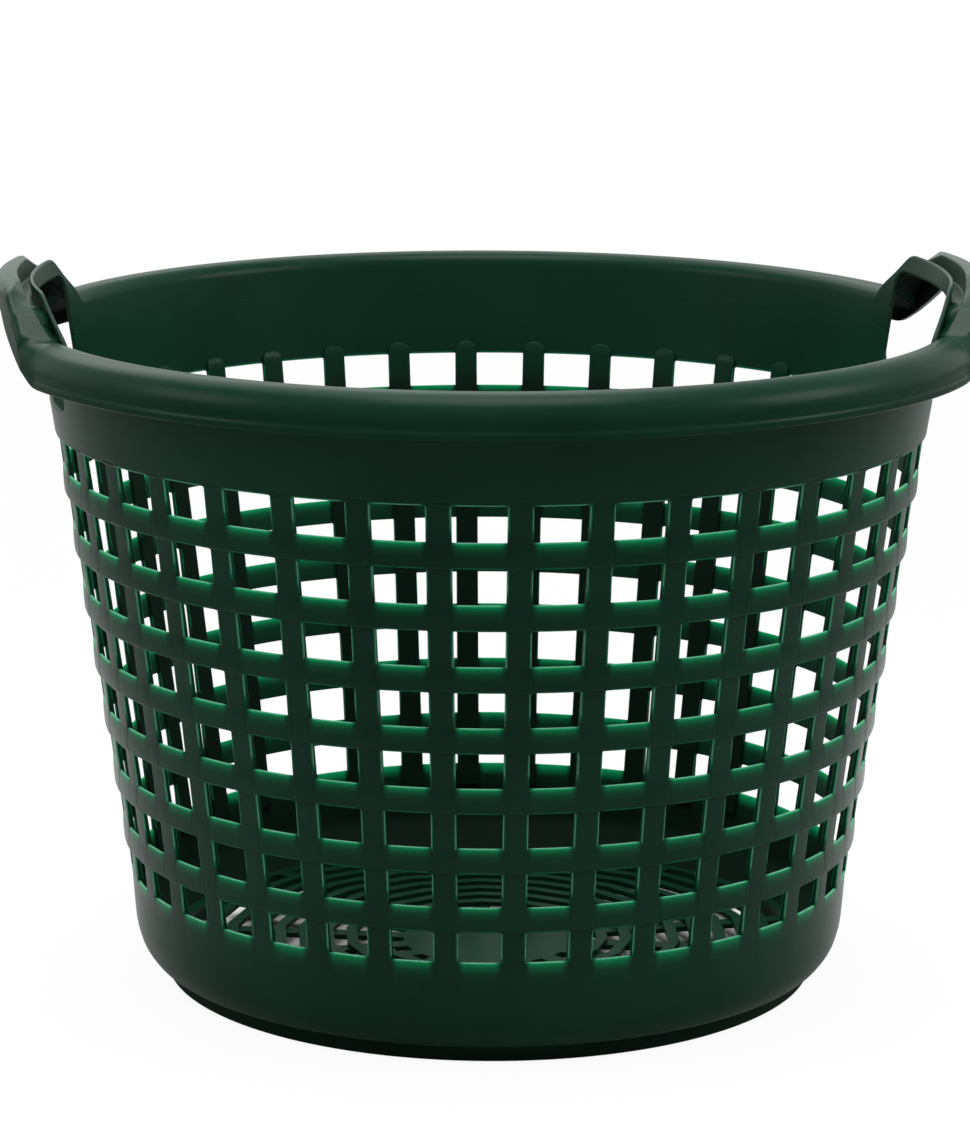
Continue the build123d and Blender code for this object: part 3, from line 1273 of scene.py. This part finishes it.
    def grip_sections(self, across: Array) -> Array:
        """Outlines of the grip: a hollow channel that grows out of the rim's section.

        From the rim a ramp climbs to the step and an end face to the crown, each a straight run
        with soft corners. Towards its ends the crown narrows to its outer edge, and a facet falls
        from its slanting edge to the step. The valley beside the raised wall has a level floor in
        the middle, and along the ramps it is a deeper pocket that narrows to nothing.

        Args:
            across: Distances along the grip, (n,).

        Returns:
            Points (n, m, 2).
        """
        run = np.abs(across)
        end = self.grip_end()
        foot = [(self.foot_half, self.shape.crest), (end + self.grip_beyond, self.shape.crest)]
        crown_line = [(0.0, self.crown_outer), *self.end_face, *foot]
        crown = soft_line(run, crown_line, self.grip_softness)
        taper = straight_step(run, self.taper_half, self.shoulder_half)
        inner_crown = crown + (self.crown_inner - self.crown_outer) * (1 - taper)
        floor = np.minimum(crown - self.ledge, self.step)
        ends = smooth_step(run, end - self.end_run, end)
        outer = self.shape.grip_outer
        inside = outer - self.shell
        down = straight_step(run, self.step_half, self.foot_half)
        valley = self.valley + (self.valley_end - self.valley) * down
        slanted = valley + self.valley_slant
        taper *= 1 - smooth_step(run, self.step_half, self.step_half + self.taper_run)
        ridge = slanted + self.taper_reach * np.maximum(taper, self.ramp_taper * (1 - ends))
        fall = straight_step(run, self.step_half, self.taper_half)
        brow = floor + self.brow_gap + (self.crown_inner - self.step) * fall
        brow = np.minimum(brow, inner_crown - HAIR / 2)
        sloped = (1 - down) * smooth_step(run, self.pocket_start, self.pocket_half)
        pocket = floor - self.pocket_depth * sloped - self.pocket_least
        beside = run * self.wall.radius(self.wall.band_top) / self.measure_radius
        hole_top = self.hole.top - self.hole.rise(beside) + self.hole_gap
        over_hole = beside < self.hole.half_width
        pocket = np.where(over_hole, np.maximum(pocket, hole_top), pocket)
        inner = self.wall.radius(pocket) + self.wall.band_thickness - self.wall_lap
        flank = valley + self.flank
        under_ridge = flank + self.under_taper * self.taper_reach * taper + self.under_gap
        under_crown = np.maximum(inner_crown - self.under_crown, floor + self.brow_gap)
        low = self.shape.low(across * outer / self.measure_radius)
        lip_top = low + self.shape.lip_height
        corners = [
            (inside, low),
            (outer + FLUSH, low),
            (outer + FLUSH, lip_top - self.shape.lip_slant),
            (outer, lip_top + self.shape.lip_slant),
            (outer, crown),
            (ridge, inner_crown),
            (slanted, brow),
            (valley, floor),
            (inner, pocket),
            (inner, pocket - self.shell),
            (flank, floor - self.shell),
            (under_ridge, under_crown - self.shell),
            (inside - self.valley_slant, crown - self.shell),
        ]
        cuts = np.tile(self.grip_cuts, (len(run), 1))
        cuts[:, 4] += self.end_cut * ends
        # The most that can be cut, by the corner's place in the list.
        limits = {
            4: np.minimum(crown - lip_top - self.lip_gap, outer - ridge - self.ridge_gap),
            5: self.ridge_share * (outer - ridge),
            6: self.brow_share * (brow - floor),
            7: self.brow_share * (brow - floor),
            11: self.brow_share * (inner_crown - floor),
        }
        for place, limit in limits.items():
            cuts[:, place] = np.minimum(cuts[:, place], limit)
        return rounded(outlines(len(run), corners), cuts, self.grip_steps)

    def grip_skin(self) -> Skin:
        """The arched grip: its section carried along the handle, with painted shade in the hollow.

        Returns:
            Its surface.
        """
        across = self.grip_places()
        sections = self.grip_sections(across)
        corner = corner_places(sections.shape[1], len(self.grip_cuts))
        # Painted shade on the faces inside the hollow.
        end, start = self.hollow_corners
        hollow = np.where((corner >= start) | (corner < end), -1.0, 0.0)
        return Skin(turned(sections, self.turn(across, self.measure_radius)), thin_glow_shade=hollow)

    def skins(self) -> Iterator[tuple[str, Skin]]:
        """Yield the raised wall and the grip."""
        yield f"handle_{self.side.label}_wall", self.fin_skin()
        yield f"handle_{self.side.label}_grip", self.grip_skin()


@dataclass
class Floor(Part):
    """The slotted floor, kept as the CAD solids."""

    names: tuple = ("floor_edge", "floor_disc", "floor_spokes", "floor_rings")

    def build(self, material: bpy.types.Material) -> Iterator[bpy.types.Object]:
        """Dress the floor's solids.

        Args:
            material: Their finish.

        Yields:
            The solids.
        """
        for name in self.names:
            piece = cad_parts[name]
            piece.data.materials.clear()
            piece.data.materials.append(material)
            yield piece


@dataclass(frozen=True)
class Lamp:
    """A soft square lamp: its name, its place and width in metres, and its power in watts."""

    name: str
    place: tuple
    width: float
    watts: float

    def hang(self, aim: Sequence[float]) -> None:
        """Hang the lamp and turn it.

        Args:
            aim: Point that it shines at, in metres.
        """
        data = bpy.data.lights.new(self.name, "AREA")
        data.size = self.width
        data.energy = self.watts
        lamp = bpy.data.objects.new(self.name, data)
        lamp.location = self.place
        view = Vector(aim) - Vector(self.place)
        lamp.rotation_euler = view.to_track_quat("-Z", "Y").to_euler()
        bpy.context.scene.collection.objects.link(lamp)


@dataclass
class Studio:
    """White floor, soft lamps, white surroundings and the camera."""

    camera_place: tuple = (-113.0, -1746.2, 557.4)
    aim: tuple = (-2.24, 0.14, 178.77)
    roll_degrees: float = 0.246
    lens: float = 129.58
    sensor_width: float = 36.0
    view_depth: float = 50.0
    # Lengths in metres from here on.
    floor_size: float = 14.0
    floor_white: float = 0.95
    # Where the painted shadow under the basket fades out, in metres from the axis.
    shadow_edge: tuple = (0.126, 0.146)
    near_edge: tuple = (0.45, 0.75)
    far_edge: tuple = (0.6, 2.5)
    painted_shadow_tone: Colour = grey(0.25)
    near_tone: Colour = grey(0.7)
    far_tone: Colour = grey(0.47)
    white: Colour = grey(1.0)
    front: float = 0.28
    back: float = 0.75
    front_to_back: tuple = (-0.7, 0.5)
    lamp_aim: tuple = (0.0, 0.0, 0.16)
    lamps: tuple = (
        Lamp("top_softbox", (0.0, -0.2, 1.6), 0.8, 23.0),
        Lamp("left_softbox", (-1.6, -0.45, 1.1), 0.8, 10.0),
        Lamp("right_softbox", (1.6, -0.45, 1.15), 0.8, 19.0),
        Lamp("back_softbox", (-0.3, 0.9, 1.5), 1.4, 20.0),
    )

    def camera(self) -> None:
        """Stand the camera where the photograph was taken from."""
        data = bpy.data.cameras.new("camera")
        data.lens = self.lens
        data.sensor_width = self.sensor_width
        data.clip_end = self.view_depth
        view = (Vector(self.aim) - Vector(self.camera_place)).normalized()
        right = view.cross(Vector((0, 0, 1))).normalized()
        up = right.cross(view)
        roll = math.radians(self.roll_degrees)
        across = right * math.cos(roll) + up * math.sin(roll)
        upward = up * math.cos(roll) - right * math.sin(roll)
        turn = Matrix((across, upward, -view)).transposed().to_4x4()
        camera = bpy.data.objects.new("camera", data)
        camera.matrix_world = Matrix.Translation(Vector(self.camera_place) * MM) @ turn
        bpy.context.scene.collection.objects.link(camera)
        bpy.context.scene.camera = camera

    def rays(self, graph: Graph, names: Sequence[str]) -> Value:
        """Pick rays by their kind.

        Args:
            graph: Node tree that takes the nodes.
            names: Outputs of the Light Path node.

        Returns:
            1 on rays of the named kinds, else 0.
        """
        path = graph.node("ShaderNodeLightPath", {}, {})
        kinds = sum(Value(graph, path.outputs[name]) for name in names)
        return kinds.math("MINIMUM", kinds, 1.0)

    def floor(self) -> bpy.types.Object:
        """Lay the floor: white to the camera, but matt under the basket, where a darker tone is
        painted shadow on top of the real one.

        As light on the basket, the floor is paler near it than further away.

        Returns:
            The floor.
        """
        half = self.floor_size / 2
        mesh = bpy.data.meshes.new("floor")
        corners = [(-half, -half, 0), (half, -half, 0), (half, half, 0), (-half, half, 0)]
        mesh.from_pydata(corners, [], [(0, 1, 2, 3)])
        floor = bpy.data.objects.new("floor", mesh)
        bpy.context.scene.collection.objects.link(floor)
        material = bpy.data.materials.new("white_floor")
        material.use_nodes = True
        graph = Graph(material.node_tree)
        seen = self.rays(graph, ("Is Camera Ray", "Is Transmission Ray"))
        length = {0: graph.coordinates("Object")}
        away = graph.number("ShaderNodeVectorMath", {"operation": "LENGTH"}, length, "Value")
        open_floor = away.ramp(*self.shadow_edge)
        # Painted shadow: a darker floor tone under the basket.
        tone = graph.mix(open_floor, self.painted_shadow_tone, self.near_tone)
        tone = graph.mix(away.ramp(*self.near_edge), tone, self.far_tone)
        matt = graph.node("ShaderNodeBsdfDiffuse", {}, {"Color": tone})
        white = graph.node("ShaderNodeEmission", {}, {"Color": self.white})
        share = self.floor_white + (1.0 - self.floor_white) * away.ramp(*self.far_edge)
        graph.surface(graph.blend(seen * share * open_floor, matt, white))
        mesh.materials.append(material)
        return floor

    def world(self) -> None:
        """White surroundings: full white as background, as light dimmer in front than behind."""
        world = bpy.data.worlds.new("studio")
        bpy.context.scene.world = world
        world.use_nodes = True
        graph = Graph(world.node_tree)
        seen = self.rays(graph, ("Is Camera Ray", "Is Glossy Ray", "Is Transmission Ray"))
        depth = graph.axis(graph.coordinates("Generated"), "Y")
        light = self.front + depth.ramp(*self.front_to_back) * (self.back - self.front)
        sockets = {"Color": self.white, "Strength": light + seen * (1.0 - light)}
        background = graph.node("ShaderNodeBackground", {}, sockets)
        graph.surface(background, "ShaderNodeOutputWorld")

    def build(self) -> None:
        """Set up the whole studio."""
        self.floor()
        self.world()
        for lamp in self.lamps:
            lamp.hang(self.lamp_aim)
        self.camera()
        bpy.context.scene.view_settings.view_transform = "Standard"


def main() -> None:
    """Build the basket and its studio."""
    logging.basicConfig(level=logging.INFO, format="%(name)s: %(message)s")
    material = Polyethylene().material()
    wall = Wall()
    hole = HandHole()
    shape = RimShape()
    hoops = Hoops(wall)
    parts = [
        RolledRim(wall, shape),
        *[Handle(wall, hole, shape, side) for side in Side],
        UpperBand(wall, hole),
        hoops,
        Staves(wall, hoops),
        Skirt(wall),
        Floor(),
    ]
    for part in parts:
        for piece in part.build(material):
            LOG.info("%s: %d faces", piece.name, len(piece.data.polygons))
    Studio().build()


if __name__ == "__main__":
    main()
